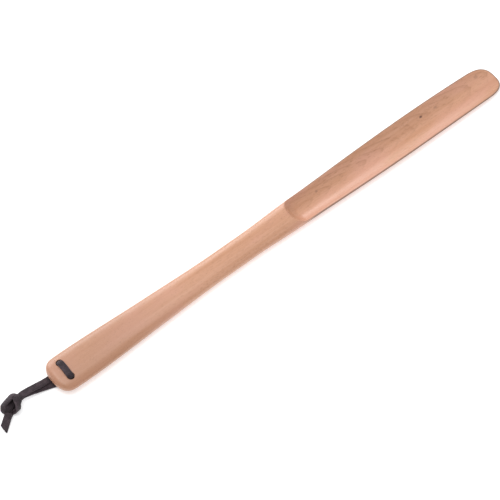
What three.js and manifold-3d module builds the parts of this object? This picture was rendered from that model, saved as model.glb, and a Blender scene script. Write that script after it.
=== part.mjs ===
// Long beech shoehorn with a leather hanging loop.
//
// The wood is one carved piece: a flattened oval handle narrows to a waist and runs into a blade
// with a scoop along its front. Two holes near the butt hold one flat leather lace. Its bridge lies
// across the front, its two legs leave at the back, and both legs are tied together in an overhand
// knot behind the butt, which leaves two short tails.
//
// Millimetres, +Z up. The shoehorn lies on its back: +X runs from the butt to the tip of the blade,
// the scoop opens towards +Z, and the origin is on the surface it lies on, under the middle of the
// wood.

import * as THREE from 'three';
import { mergeVertices } from 'three/addons/utils/BufferGeometryUtils.js';
import Module from 'manifold-3d';

// ---- Wood: sizes along the length ----
const HANDLE_LENGTH = 286; // butt end to the start of the scoop
const SCOOP_LENGTH = 264; // start of the scoop to the tip
const BUTT_WIDEST_FROM_END = 24; // widest place of the butt, from the butt end
const HANDLE_MIDDLE_FROM_END = 122; // where the handle's taper is at its steepest
const WAIST_LENGTH = 34; // narrow stretch of even width
const WAIST_TO_SCOOP = 50; // end of the narrow stretch to the start of the scoop
const BLADE_WIDEST_FROM_TIP = 110; // widest place of the blade, from the tip
const SHOULDER_LENGTH = 44; // the front drops from the handle to the blade's rims over this
const REST_LAND_FROM_BUTT = 105; // flat land on the back, from the butt end to where it starts
const REST_LAND_LENGTH = 215; // length of that land

// ---- Wood: sizes across ----
const BUTT_END_WIDTH = 38.2;
const BUTT_WIDTH = 39.2;
const HANDLE_MIDDLE_WIDTH = 32.3;
const WAIST_WIDTH = 27.4;
const SCOOP_START_WIDTH = 30.8;
const BLADE_WIDTH = 37.4;
const TIP_WIDTH = 34.6;

// ---- Wood: heights ----
const HANDLE_EDGE_HEIGHT = 7; // height of the handle's widest points
const BUTT_EDGE_HEIGHT = 8.2;
const BLADE_EDGE_HEIGHT = 6.8;
const TIP_EDGE_HEIGHT = 3.2;
const CROWN_HEIGHT = 6.6; // front of the handle above its widest points
const RIM_CROWN = 1.3; // top of the blade's rims above the widest points
const TIP_RIM_CROWN = 0.8;
const BUTT_BACK_RISE = 4.2; // the back lifts off the surface by this at the butt end
const TIP_BACK_RISE = 0.8;
const LAND_DEPTH = 0.3; // how much is planed off the back to make the flat land

// ---- Wood: section fullness, 2 is an ellipse and more is squarer ----
const HANDLE_FULLNESS = 2.5;
const BLADE_BACK_FULLNESS = 2.1;

// ---- Wood: rounded ends, seen from above and from the side ----
const BUTT_ROUND_LENGTH = 15.5;
const BUTT_ROUND_FULLNESS = 2.6;
const BUTT_EDGE_ROUND_LENGTH = 7;
const BUTT_EDGE_ROUND_FULLNESS = 2.2;
const BUTT_FLAT_WIDTH = 9; // flat left in the middle of the butt end
const BUTT_FLAT_SHARE = 0.25; // the same flat's share of the section's height
const TIP_ROUND_LENGTH = 24;
const TIP_ROUND_FULLNESS = 2.8;
const TIP_FLAT_WIDTH = 7;

// ---- Scoop ----
const SCOOP_RAMP_LENGTH = 13; // the scoop reaches its full depth over this
const SCOOP_FLOOR_WALL = 3; // wood left under the scoop where it starts
const TIP_WALL = 1.8; // wood left at the tip
const RIM_WIDTH = 1.7; // wood left beside the scoop at the top of the rims

// ---- Lace ----
const LACE_WIDTH = 6.8;
const LACE_THICKNESS = 1.8;
const LACE_CORNER = 0.5;
const LACE_BEND_RADIUS = 2.6; // centre line, where the lace turns into a hole
const GAP = 0.3; // left between pieces that touch
const FLOOR_GAP = 0.3; // between the lace and the surface
const KNOT_LENGTH = 25;
const KNOT_WIDTH = 19;
const KNOT_HEIGHT = 13;
const KNOT_BEYOND_BUTT = 43.4; // butt end to the middle of the knot
const KNOT_SIDEWAYS = 5.1; // the knot lies this far to the +Y side
const TAIL_LENGTH = 14;
const TAIL_TURN = 212; // degrees from +X to the way the tails point, seen from above
const TAIL_SPREAD = 5.7; // degrees from the upper tail's way to the lower tail's
const TAIL_DROP = 1.8; // a tail leaves the knot this much above the height where it ends
const TAIL_ROOT_ROOM = 1.2; // lets a tail bend up or down beside the knot

// ---- Lace holes ----
const HOLE_CLEARANCE = 0.38; // around the lace's corners
const HOLE_DIAMETER = Math.hypot(LACE_WIDTH, LACE_THICKNESS) + 2 * HOLE_CLEARANCE;
const HOLE_SPACING = 17.5;
const HOLE_FROM_BUTT = 15.8;
const HOLE_MOUTH_ROUND = 0.8;

// ---- Places that follow from the sizes ----
const LENGTH = HANDLE_LENGTH + SCOOP_LENGTH;
const BUTT_X = -LENGTH / 2;
const TIP_X = LENGTH / 2;
const SCOOP_X = BUTT_X + HANDLE_LENGTH;
const WAIST_END_X = SCOOP_X - WAIST_TO_SCOOP;
const WAIST_START_X = WAIST_END_X - WAIST_LENGTH;
const BLADE_WIDEST_X = TIP_X - BLADE_WIDEST_FROM_TIP;
const LAND_START_X = BUTT_X + REST_LAND_FROM_BUTT;
const LAND_END_X = LAND_START_X + REST_LAND_LENGTH;
const HOLE_X = BUTT_X + HOLE_FROM_BUTT;
const HOLE_Y = HOLE_SPACING / 2;

// ---- Fineness ----
const SECTION_SIDES = 28;
const END_STEPS = 8;
const STATION_STEP = 11;
const SCOOP_SIDES = 14;
const RAMP_STEP = 1.6; // between the scoop's sections where it deepens
const SCOOP_STEP = 12; // between its sections further on
const CUT_OVER = 3; // a cut runs past the surface it opens by this
const HOLE_SIDES = 24;
const THREAD_STEPS = 36;
const LEG_STEPS = 20;
const TAIL_STEPS = 8;
const KNOT_SIDES = 16;
const KNOT_RINGS = 10;

const wasm = await Module();
wasm.setup();

/** A smooth curve through [position, value] stations that never swings past them. */
function profile(stations) {
  const rise = (i) => (stations[i + 1][1] - stations[i][1]) / (stations[i + 1][0] - stations[i][0]);
  const last = stations.length - 1;
  const slopes = stations.map((station, i) => {
    if (i === 0 || i === last) {
      return 0;
    }
    const before = rise(i - 1);
    const after = rise(i);
    return before * after <= 0 ? 0 : (2 * before * after) / (before + after);
  });
  slopes[0] = 2 * rise(0) - slopes[1];
  slopes[last] = 2 * rise(last - 1) - slopes[last - 1];
  return (x) => {
    const inside = THREE.MathUtils.clamp(x, stations[0][0], stations[last][0]);
    let i = 0;
    while (i < last - 1 && inside > stations[i + 1][0]) {
      i += 1;
    }
    const [x0, v0] = stations[i];
    const [x1, v1] = stations[i + 1];
    const span = x1 - x0;
    const u = (inside - x0) / span;
    const ease = u * u * (3 - 2 * u);
    const leave = u * (1 - u) * (1 - u);
    const arrive = u * u * (u - 1);
    return v0 + (v1 - v0) * ease + span * (slopes[i] * leave + slopes[i + 1] * arrive);
  };
}

const halfWidthAt = profile([
  [BUTT_X, BUTT_END_WIDTH / 2],
  [BUTT_X + BUTT_WIDEST_FROM_END, BUTT_WIDTH / 2],
  [BUTT_X + HANDLE_MIDDLE_FROM_END, HANDLE_MIDDLE_WIDTH / 2],
  [WAIST_START_X, WAIST_WIDTH / 2],
  [WAIST_END_X, WAIST_WIDTH / 2],
  [SCOOP_X, SCOOP_START_WIDTH / 2],
  [BLADE_WIDEST_X, BLADE_WIDTH / 2],
  [TIP_X, TIP_WIDTH / 2],
]);

const edgeHeightAt = profile([
  [BUTT_X, BUTT_EDGE_HEIGHT],
  [LAND_START_X, HANDLE_EDGE_HEIGHT],
  [SCOOP_X, HANDLE_EDGE_HEIGHT],
  [BLADE_WIDEST_X, BLADE_EDGE_HEIGHT],
  [TIP_X, TIP_EDGE_HEIGHT],
]);

const backHeightAt = profile([
  [BUTT_X, BUTT_BACK_RISE],
  [LAND_START_X, -LAND_DEPTH],
  [LAND_END_X, -LAND_DEPTH],
  [TIP_X, TIP_BACK_RISE],
]);

const crownAt = profile([
  [BUTT_X, CROWN_HEIGHT],
  [SCOOP_X, CROWN_HEIGHT],
  [SCOOP_X + SHOULDER_LENGTH, RIM_CROWN],
  [TIP_X, TIP_RIM_CROWN],
]);

const backFullnessAt = profile([
  [BUTT_X, HANDLE_FULLNESS],
  [SCOOP_X, HANDLE_FULLNESS],
  [SCOOP_X + SHOULDER_LENGTH, BLADE_BACK_FULLNESS],
  [TIP_X, BLADE_BACK_FULLNESS],
]);

const scoopWallAt = profile([
  [SCOOP_X, SCOOP_FLOOR_WALL],
  [TIP_X, TIP_WALL],
]);

/** Share of the full size left at a distance from a rounded end, down to a blunt share. */
function endShare(distance, length, fullness, blunt) {
  const reach = THREE.MathUtils.clamp(1 - distance / length, 0, 1);
  return (1 - (1 - blunt ** fullness) * reach ** fullness) ** (1 / fullness);
}

/** Height of the front or back of the uncut section above or below its widest points. */
function sectionRise(share, height, fullness) {
  const inside = Math.min(Math.abs(share), 1);
  return height * (1 - inside ** fullness) ** (1 / fullness);
}

/** Front surface of the wood before the scoop is cut. */
function frontHeightAt(x, y) {
  return edgeHeightAt(x) + sectionRise(y / halfWidthAt(x), crownAt(x), HANDLE_FULLNESS);
}

/** Back surface of the wood, planed flat where it would fall below the surface. */
function backSurfaceAt(x, y) {
  const depth = edgeHeightAt(x) - backHeightAt(x);
  const rise = sectionRise(y / halfWidthAt(x), depth, backFullnessAt(x));
  return Math.max(edgeHeightAt(x) - rise, 0);
}

/** Half of the outline's width, seen from above, at the rounded tip. */
function tipLimitAt(x) {
  const half = halfWidthAt(x);
  const blunt = TIP_FLAT_WIDTH / 2 / half;
  return half * endShare(TIP_X - x, TIP_ROUND_LENGTH, TIP_ROUND_FULLNESS, blunt);
}

/** The closed section of the uncut wood at one place along the length. */
function woodRing(x) {
  const half = halfWidthAt(x);
  const fromButt = x - BUTT_X;
  const buttFlat = BUTT_FLAT_WIDTH / 2 / half;
  const wide = endShare(fromButt, BUTT_ROUND_LENGTH, BUTT_ROUND_FULLNESS, buttFlat);
  const tall = endShare(fromButt, BUTT_EDGE_ROUND_LENGTH, BUTT_EDGE_ROUND_FULLNESS, BUTT_FLAT_SHARE);
  const edge = edgeHeightAt(x);
  const limit = tipLimitAt(x);
  const ring = [];
  for (let i = 0; i < SECTION_SIDES; i += 1) {
    const angle = (i / SECTION_SIDES) * 2 * Math.PI;
    const front = Math.sin(angle) >= 0;
    const height = front ? crownAt(x) : edge - backHeightAt(x);
    const fullness = front ? HANDLE_FULLNESS : backFullnessAt(x);
    const across = Math.sign(Math.cos(angle)) * Math.abs(Math.cos(angle)) ** (2 / fullness);
    const up = Math.sign(Math.sin(angle)) * Math.abs(Math.sin(angle)) ** (2 / fullness);
    let y = half * wide * across;
    let z = edge + height * tall * up;
    if (Math.abs(y) > limit) {
      y = Math.sign(y) * limit;
      z = THREE.MathUtils.clamp(z, backSurfaceAt(x, limit), frontHeightAt(x, limit));
    }
    ring.push(new THREE.Vector3(x, y, Math.max(z, 0)));
  }
  return ring;
}

/** A closed skin over rings of points that all run the same way round, +X last. */
function loft(rings) {
  const sides = rings[0].length;
  const positions = [];
  const indices = [];
  for (const ring of rings) {
    for (const point of ring) {
      positions.push(point.x, point.y, point.z);
    }
  }
  const addCap = (first, ring, forward) => {
    const centre = positions.length / 3;
    const middle = new THREE.Vector3();
    ring.forEach((point) => middle.add(point));
    middle.divideScalar(sides);
    positions.push(middle.x, middle.y, middle.z);
    for (let i = 0; i < sides; i += 1) {
      const a = first + i;
      const b = first + ((i + 1) % sides);
      indices.push(...(forward ? [centre, a, b] : [centre, b, a]));
    }
  };
  for (let r = 0; r < rings.length - 1; r += 1) {
    for (let i = 0; i < sides; i += 1) {
      const j = (i + 1) % sides;
      const a = r * sides + i;
      const b = r * sides + j;
      indices.push(a, b, b + sides, a, b + sides, a + sides);
    }
  }
  addCap(0, rings[0], false);
  addCap((rings.length - 1) * sides, rings[rings.length - 1], true);
  const geometry = new THREE.BufferGeometry();
  geometry.setAttribute('position', new THREE.Float32BufferAttribute(positions, 3));
  geometry.setIndex(indices);
  return geometry;
}

/** Turns a closed geometry into a solid that can be cut and joined. */
function toSolid(geometry) {
  const bare = geometry.clone();
  bare.deleteAttribute('normal');
  bare.deleteAttribute('uv');
  const merged = mergeVertices(bare, 1e-4);
  const index = merged.getIndex().array;
  const triangles = [];
  for (let i = 0; i < index.length; i += 3) {
    const [a, b, c] = [index[i], index[i + 1], index[i + 2]];
    if (a !== b && b !== c && c !== a) {
      triangles.push(a, b, c);
    }
  }
  return new wasm.Manifold(new wasm.Mesh({
    numProp: 3,
    vertProperties: new Float32Array(merged.getAttribute('position').array),
    triVerts: new Uint32Array(triangles),
  }));
}

/** Turns a solid back into a geometry. */
function toGeometry(solid) {
  const mesh = solid.getMesh();
  const positions = new Float32Array(mesh.vertProperties);
  const geometry = new THREE.BufferGeometry();
  geometry.setAttribute('position', new THREE.BufferAttribute(positions, 3));
  geometry.setIndex(new THREE.BufferAttribute(new Uint32Array(mesh.triVerts), 1));
  return geometry;
}

/** Even steps from one value to another, both ends included. */
function evenSteps(from, to, step) {
  const count = Math.max(1, Math.round((to - from) / step));
  return Array.from({ length: count + 1 }, (_, i) => from + ((to - from) * i) / count);
}

/** Steps over a rounded end, close together at the end itself. */
function endSteps(length) {
  return Array.from({ length: END_STEPS }, (_, i) => (
    length * (1 - Math.cos((i / END_STEPS) * (Math.PI / 2)))
  ));
}

/** The uncut blank of the shoehorn. */
function woodBlank() {
  const buttStations = endSteps(BUTT_ROUND_LENGTH).map((distance) => BUTT_X + distance);
  const tipStations = endSteps(TIP_ROUND_LENGTH).map((distance) => TIP_X - distance).reverse();
  const middle = evenSteps(BUTT_X + BUTT_ROUND_LENGTH, TIP_X - TIP_ROUND_LENGTH, STATION_STEP);
  const stations = [...buttStations, ...middle, ...tipStations];
  return loft(stations.map(woodRing));
}

/** Height of the scoop's surface above the surface that the shoehorn lies on. */
function scoopHeightAt(x, y) {
  const place = Math.min(x, TIP_X);
  const floor = backHeightAt(place) + scoopWallAt(place);
  const reach = halfWidthAt(place) - RIM_WIDTH;
  const settled = Math.max(place, SCOOP_X + SHOULDER_LENGTH);
  const rim = frontHeightAt(settled, halfWidthAt(settled) - RIM_WIDTH);
  const settledFloor = backHeightAt(settled) + scoopWallAt(settled);
  const bend = (rim - settledFloor) / (reach * reach);
  const ramp = THREE.MathUtils.clamp((SCOOP_X + SCOOP_RAMP_LENGTH - x) / SCOOP_RAMP_LENGTH, 0, 2);
  const drop = edgeHeightAt(SCOOP_X) + CROWN_HEIGHT - backHeightAt(SCOOP_X) - SCOOP_FLOOR_WALL;
  return floor + drop * ramp * ramp + bend * y * y;
}

/** What the scoop takes out of the blank. */
function scoopCutter() {
  const reach = BLADE_WIDTH / 2 + CUT_OVER;
  const lid = HANDLE_EDGE_HEIGHT + 2 * CROWN_HEIGHT;
  const rampEnd = SCOOP_X + SCOOP_RAMP_LENGTH;
  const stations = [
    ...evenSteps(SCOOP_X - CUT_OVER, rampEnd, RAMP_STEP),
    ...evenSteps(rampEnd, TIP_X, SCOOP_STEP).slice(1),
    TIP_X + CUT_OVER,
  ];
  const rings = stations.map((x) => {
    const ring = [];
    for (let i = 0; i <= SCOOP_SIDES; i += 1) {
      const y = reach * ((2 * i) / SCOOP_SIDES - 1);
      ring.push(new THREE.Vector3(x, y, Math.min(scoopHeightAt(x, y), lid)));
    }
    ring.push(new THREE.Vector3(x, reach, lid + CUT_OVER));
    ring.push(new THREE.Vector3(x, -reach, lid + CUT_OVER));
    return ring;
  });
  return loft(rings);
}

/** What one lace hole takes out: a straight bore whose mouths are eased at both faces. */
function holeCutter(side) {
  const radius = HOLE_DIAMETER / 2;
  const eased = radius + HOLE_MOUTH_ROUND;
  const back = backSurfaceAt(HOLE_X, HOLE_Y);
  const front = frontHeightAt(HOLE_X, HOLE_Y);
  const outline = [
    new THREE.Vector2(0, back - CUT_OVER),
    new THREE.Vector2(eased + CUT_OVER, back - CUT_OVER),
    new THREE.Vector2(eased, back),
    new THREE.Vector2(radius, back + HOLE_MOUTH_ROUND),
    new THREE.Vector2(radius, front - HOLE_MOUTH_ROUND),
    new THREE.Vector2(eased, front),
    new THREE.Vector2(eased + CUT_OVER, front + CUT_OVER),
    new THREE.Vector2(0, front + CUT_OVER),
  ];
  const geometry = new THREE.LatheGeometry(outline, HOLE_SIDES);
  geometry.rotateX(Math.PI / 2);
  geometry.translate(HOLE_X, side * HOLE_Y, 0);
  return geometry;
}

/** The carved wooden body. */
function bodyGeometry() {
  let solid = toSolid(woodBlank());
  solid = solid.subtract(toSolid(scoopCutter()));
  for (const side of [-1, 1]) {
    solid = solid.subtract(toSolid(holeCutter(side)));
  }
  return toGeometry(solid);
}

/** The lace's flat section with eased corners: width along local y, thickness along local x. */
function laceSection() {
  const w = LACE_WIDTH / 2;
  const t = LACE_THICKNESS / 2;
  const c = LACE_CORNER;
  const shape = new THREE.Shape();
  shape.moveTo(-t + c, -w);
  shape.lineTo(t - c, -w);
  shape.lineTo(t, -w + c);
  shape.lineTo(t, w - c);
  shape.lineTo(t - c, w);
  shape.lineTo(-t + c, w);
  shape.lineTo(-t, w - c);
  shape.lineTo(-t, -w + c);
  shape.closePath();
  return shape;
}

/** A lace's centre line whose flat side faces a chosen way all along. */
class LaceCurve extends THREE.CatmullRomCurve3 {
  constructor(points, widthAxis) {
    super(points, false, 'centripetal');
    this.widthAxis = widthAxis;
  }

  computeFrenetFrames(segments) {
    const tangents = [];
    const normals = [];
    const binormals = [];
    for (let i = 0; i <= segments; i += 1) {
      const tangent = this.getTangentAt(i / segments);
      const normal = new THREE.Vector3().crossVectors(this.widthAxis, tangent).normalize();
      tangents.push(tangent);
      normals.push(normal);
      binormals.push(new THREE.Vector3().crossVectors(tangent, normal).normalize());
    }
    return { tangents, normals, binormals };
  }
}

/** A stretch of lace along hand-chosen points. */
function laceGeometry(points, widthAxis, steps) {
  const path = new LaceCurve(points.map((p) => new THREE.Vector3(...p)), widthAxis);
  return new THREE.ExtrudeGeometry(laceSection(), { steps, extrudePath: path, curveSegments: 1 });
}

// ---- Where the lace runs ----
const HALF_LACE = LACE_THICKNESS / 2;
const FRONT_AT_HOLES = frontHeightAt(HOLE_X, 0);
const BRIDGE_Z = FRONT_AT_HOLES + GAP + HALF_LACE;
const PIVOT_Z = FLOOR_GAP + HALF_LACE; // the legs swing about this height, under the hole mouths
const THREAD_END_Z = PIVOT_Z + HALF_LACE + GAP;

/** The part of the lace that the wood holds: up one hole, across the front and down the other. */
function threadGeometry() {
  const bend = LACE_BEND_RADIUS;
  const diagonal = bend * (1 - Math.SQRT1_2);
  const half = [
    [HOLE_X, HOLE_Y, THREAD_END_Z],
    [HOLE_X, HOLE_Y, (THREAD_END_Z + BRIDGE_Z) / 2],
    [HOLE_X, HOLE_Y, BRIDGE_Z - bend],
    [HOLE_X, HOLE_Y - diagonal, BRIDGE_Z - diagonal],
    [HOLE_X, HOLE_Y - bend, BRIDGE_Z],
  ];
  const mirrored = half.map(([x, y, z]) => [x, -y, z]).reverse();
  const points = [...half, [HOLE_X, 0, BRIDGE_Z], ...mirrored];
  return laceGeometry(points, new THREE.Vector3(1, 0, 0), THREAD_STEPS);
}

const LEG_WIDTH_AXIS = new THREE.Vector3(0, 1, 0);
const KNOT_CENTRE = new THREE.Vector3(
  BUTT_X - KNOT_BEYOND_BUTT,
  KNOT_SIDEWAYS,
  FLOOR_GAP + KNOT_HEIGHT / 2,
);

/** The leg that lies uppermost where the two meet. */
function upperLegGeometry() {
  return laceGeometry([
    [HOLE_X, HOLE_Y, PIVOT_Z],
    [HOLE_X - 6, HOLE_Y - 0.7, PIVOT_Z + 0.1],
    [BUTT_X + 3, HOLE_Y - 1.5, PIVOT_Z + 0.7],
    [BUTT_X - 5, 7.3, 3.5],
    [BUTT_X - 14, 7, 5.6],
    [BUTT_X - 23, 7, 7.3],
    [BUTT_X - 30.3, 7, 8],
  ], LEG_WIDTH_AXIS, LEG_STEPS);
}

/** The leg that lies below, crossing from the other hole. */
function lowerLegGeometry() {
  return laceGeometry([
    [HOLE_X, -HOLE_Y, PIVOT_Z],
    [HOLE_X - 6, -HOLE_Y + 3, PIVOT_Z],
    [BUTT_X + 3, -HOLE_Y + 6.2, PIVOT_Z + 0.1],
    [BUTT_X - 5, 0.2, 1.6],
    [BUTT_X - 14, 3.4, 2.9],
    [BUTT_X - 23, 5.7, 4.6],
    [BUTT_X - 30.3, 6.8, 5.4],
  ], LEG_WIDTH_AXIS, LEG_STEPS);
}

/** The overhand knot's outer shape. */
function knotGeometry() {
  const geometry = new THREE.SphereGeometry(1, KNOT_SIDES, KNOT_RINGS);
  geometry.scale(KNOT_LENGTH / 2, KNOT_WIDTH / 2, KNOT_HEIGHT / 2);
  geometry.translate(KNOT_CENTRE.x, KNOT_CENTRE.y, KNOT_CENTRE.z);
  return geometry;
}

const LOWER_TAIL_END_Z = FLOOR_GAP + HALF_LACE;
const UPPER_TAIL_END_Z = LOWER_TAIL_END_Z + LACE_THICKNESS + 2 * GAP;

/** A tail that leaves the knot in a direction seen from above and sinks to a height. */
function tailGeometry(turn, endZ) {
  const up = new THREE.Vector3(0, 0, 1);
  const way = new THREE.Vector3(1, 0, 0).applyAxisAngle(up, THREE.MathUtils.degToRad(turn));
  const flat = new THREE.Vector3().crossVectors(up, way);
  const knotReach = 1 / Math.hypot(way.x / (KNOT_LENGTH / 2), way.y / (KNOT_WIDTH / 2));
  const points = [0, 0.35, 0.7, 1].map((share) => {
    const distance = knotReach + TAIL_ROOT_ROOM + TAIL_LENGTH * share;
    const point = KNOT_CENTRE.clone().addScaledVector(way, distance);
    const left = THREE.MathUtils.smoothstep(share, 0, 1);
    return [point.x, point.y, endZ + TAIL_DROP * (1 - left)];
  });
  return laceGeometry(points, flat, TAIL_STEPS);
}

const COLOURS = {
  beech: '#d4a58a',
  lace: '#40343a',
};

const beech = { color: COLOURS.beech, roughness: 0.45, metalness: 0 };
const leather = { color: COLOURS.lace, roughness: 0.8, metalness: 0 };

/** One named piece with its own material. */
function piece(name, geometry, finish) {
  const mesh = new THREE.Mesh(geometry, new THREE.MeshStandardMaterial(finish));
  mesh.name = name;
  return mesh;
}

const shoehorn = new THREE.Group();
const lace = new THREE.Group();
lace.add(
  piece('lace_thread', threadGeometry(), leather),
  piece('lace_leg_upper', upperLegGeometry(), leather),
  piece('lace_leg_lower', lowerLegGeometry(), leather),
  piece('lace_knot', knotGeometry(), leather),
  piece('lace_tail_upper', tailGeometry(TAIL_TURN, UPPER_TAIL_END_Z), leather),
  piece('lace_tail_lower', tailGeometry(TAIL_TURN + TAIL_SPREAD, LOWER_TAIL_END_Z), leather),
);
shoehorn.add(piece('shoehorn_body', bodyGeometry(), beech), lace);

export default shoehorn;
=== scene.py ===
"""Long beech shoehorn with a leather hanging loop.

One carved piece of beech, flattened oval at the handle and scooped out at the blade, carries one flat
leather lace. The lace crosses the front near the butt, leaves at the back through two holes, and
ends in an overhand knot with two short tails.

Everything is in metres. The shoehorn lies on its back with its tip towards +X.
"""

from __future__ import annotations

import logging
import math
from dataclasses import dataclass, field
from enum import Enum

import bpy
from mathutils import Matrix, Vector

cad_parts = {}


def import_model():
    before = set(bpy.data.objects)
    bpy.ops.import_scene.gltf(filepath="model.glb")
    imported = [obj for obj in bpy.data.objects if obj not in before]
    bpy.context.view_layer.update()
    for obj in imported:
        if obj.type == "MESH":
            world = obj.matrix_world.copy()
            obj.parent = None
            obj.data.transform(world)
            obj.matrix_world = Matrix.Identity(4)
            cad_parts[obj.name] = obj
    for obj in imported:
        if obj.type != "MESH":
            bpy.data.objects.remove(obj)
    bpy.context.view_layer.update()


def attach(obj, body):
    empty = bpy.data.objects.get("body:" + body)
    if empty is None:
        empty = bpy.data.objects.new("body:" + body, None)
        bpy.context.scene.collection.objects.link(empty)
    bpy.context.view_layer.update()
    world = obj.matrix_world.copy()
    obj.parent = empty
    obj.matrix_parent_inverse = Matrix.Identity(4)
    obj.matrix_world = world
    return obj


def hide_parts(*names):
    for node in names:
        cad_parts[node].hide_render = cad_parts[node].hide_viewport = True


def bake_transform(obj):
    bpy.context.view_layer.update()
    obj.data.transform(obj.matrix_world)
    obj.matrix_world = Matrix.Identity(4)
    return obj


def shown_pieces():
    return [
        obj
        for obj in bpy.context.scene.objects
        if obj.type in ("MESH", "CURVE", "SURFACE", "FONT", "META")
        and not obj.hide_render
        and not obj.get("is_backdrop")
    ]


LOG = logging.getLogger("shoehorn")
CURVE_STEPS = 24

Socket = bpy.types.NodeSocket
Triple = tuple[float, float, float]
Tint = tuple[int, int, int]
Colour = tuple[float, float, float, float]


class Part(Enum):
    """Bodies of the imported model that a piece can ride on."""

    WOOD = "wood"
    LOOP = "loop"
    TAIL_UPPER = "tail_upper"
    TAIL_LOWER = "tail_lower"


class Slot(Enum):
    """Finishes that the record names."""

    BEECH = "beech"
    LACE = "lace"


class Layer(Enum):
    """The two thicknesses of lace that run through the knot, as sides of their shared middle."""

    UPPER = -1
    LOWER = 1


# ---------------------------------------------------------------------------------------------
# Arithmetic on node sockets
# ---------------------------------------------------------------------------------------------


class Value:
    """A number socket of a node tree that can be used in ordinary arithmetic."""

    def __init__(self, tree: bpy.types.NodeTree, socket: Socket) -> None:
        """Wrap a socket."""
        self.tree = tree
        self.socket = socket

    def apply(self, operation: str, *others: Value | float, clamp: bool = False) -> Value:
        """Add one Math node that starts with this value.

        Args:
            operation: Name of the Math node's operation.
            others: Further operands, as values or plain numbers.
            clamp: Whether the result is kept between 0 and 1.

        Returns:
            The node's result.
        """
        node = self.tree.nodes.new("ShaderNodeMath")
        node.operation = operation
        node.use_clamp = clamp
        for operand, entry in zip((self, *others), node.inputs):
            feed(self.tree, operand, entry)
        return Value(self.tree, node.outputs[0])

    def __add__(self, other: Value | float) -> Value:
        """Sum."""
        return self.apply("ADD", other)

    def __radd__(self, other: float) -> Value:
        """Sum with a plain number in front."""
        return self.apply("ADD", other)

    def __sub__(self, other: Value | float) -> Value:
        """Difference."""
        return self.apply("SUBTRACT", other)

    def __rsub__(self, other: float) -> Value:
        """Difference with a plain number in front."""
        return self.apply("MULTIPLY_ADD", -1.0, other)

    def __mul__(self, other: Value | float) -> Value:
        """Product."""
        return self.apply("MULTIPLY", other)

    def __truediv__(self, other: Value | float) -> Value:
        """Quotient."""
        return self.apply("DIVIDE", other)

    def __rtruediv__(self, other: float) -> Value:
        """Quotient with a plain number on top."""
        return self.apply("POWER", -1.0) * other

    def __pow__(self, other: Value | float) -> Value:
        """Power of a value that is not negative."""
        return self.apply("POWER", other)

    def size(self) -> Value:
        """Size without the sign."""
        return self.apply("ABSOLUTE")

    def sign(self) -> Value:
        """Sign, as -1, 0 or 1."""
        return self.apply("SIGN")

    def clamped(self) -> Value:
        """The value kept between 0 and 1."""
        return self.apply("ADD", 0.0, clamp=True)

    def least(self, other: Value | float) -> Value:
        """The smaller of two values."""
        return self.apply("MINIMUM", other)

    def most(self, other: Value | float) -> Value:
        """The larger of two values."""
        return self.apply("MAXIMUM", other)

    def between(self, low: float, high: float) -> Value:
        """Smooth rise from 0 at one number to 1 at another.

        Args:
            low: Where the rise starts.
            high: Where the rise ends. It may be below the start.

        Returns:
            The risen share.
        """
        node = self.tree.nodes.new("ShaderNodeMapRange")
        node.interpolation_type = "SMOOTHSTEP"
        self.tree.links.new(self.socket, node.inputs["Value"])
        node.inputs["From Min"].default_value = low
        node.inputs["From Max"].default_value = high
        return Value(self.tree, node.outputs["Result"])

    def towards(self, other: Value | float, share: Value | float) -> Value:
        """A value part of the way to another."""
        return self + (other - self) * share


def feed(tree: bpy.types.NodeTree, value: Value | Socket | float | Colour, entry: Socket) -> None:
    """Give an input socket its value.

    Args:
        tree: Tree that the socket belongs to.
        value: A value or socket to join to it, or something plain to set on it.
        entry: The input socket.
    """
    source = value.socket if isinstance(value, Value) else value
    if isinstance(source, Socket):
        tree.links.new(source, entry)
    else:
        entry.default_value = source


def split(tree: bpy.types.NodeTree, vector: Socket) -> tuple[Value, Value, Value]:
    """Take a vector socket apart.

    Args:
        tree: Tree to add the node to.
        vector: Vector socket.

    Returns:
        Its three numbers.
    """
    node = tree.nodes.new("ShaderNodeSeparateXYZ")
    tree.links.new(vector, node.inputs[0])
    return tuple(Value(tree, output) for output in node.outputs)


def joined(
    tree: bpy.types.NodeTree, x: Value | float, y: Value | float, z: Value | float
) -> Socket:
    """Make a vector socket of three numbers.

    Args:
        tree: Tree to add the node to.
        x: First number.
        y: Second number.
        z: Third number.

    Returns:
        The vector socket.
    """
    node = tree.nodes.new("ShaderNodeCombineXYZ")
    for value, entry in zip((x, y, z), node.inputs):
        feed(tree, value, entry)
    return node.outputs[0]


def add_object(name: str, data: bpy.types.ID) -> bpy.types.Object:
    """Put data into the scene as a new object at the origin.

    Args:
        name: Name of the object.
        data: Its mesh, light or camera.

    Returns:
        The object.
    """
    item = bpy.data.objects.new(name, data)
    bpy.context.scene.collection.objects.link(item)
    return item


# ---------------------------------------------------------------------------------------------
# Geometry node trees that draw a skin along a spine
# ---------------------------------------------------------------------------------------------


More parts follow.
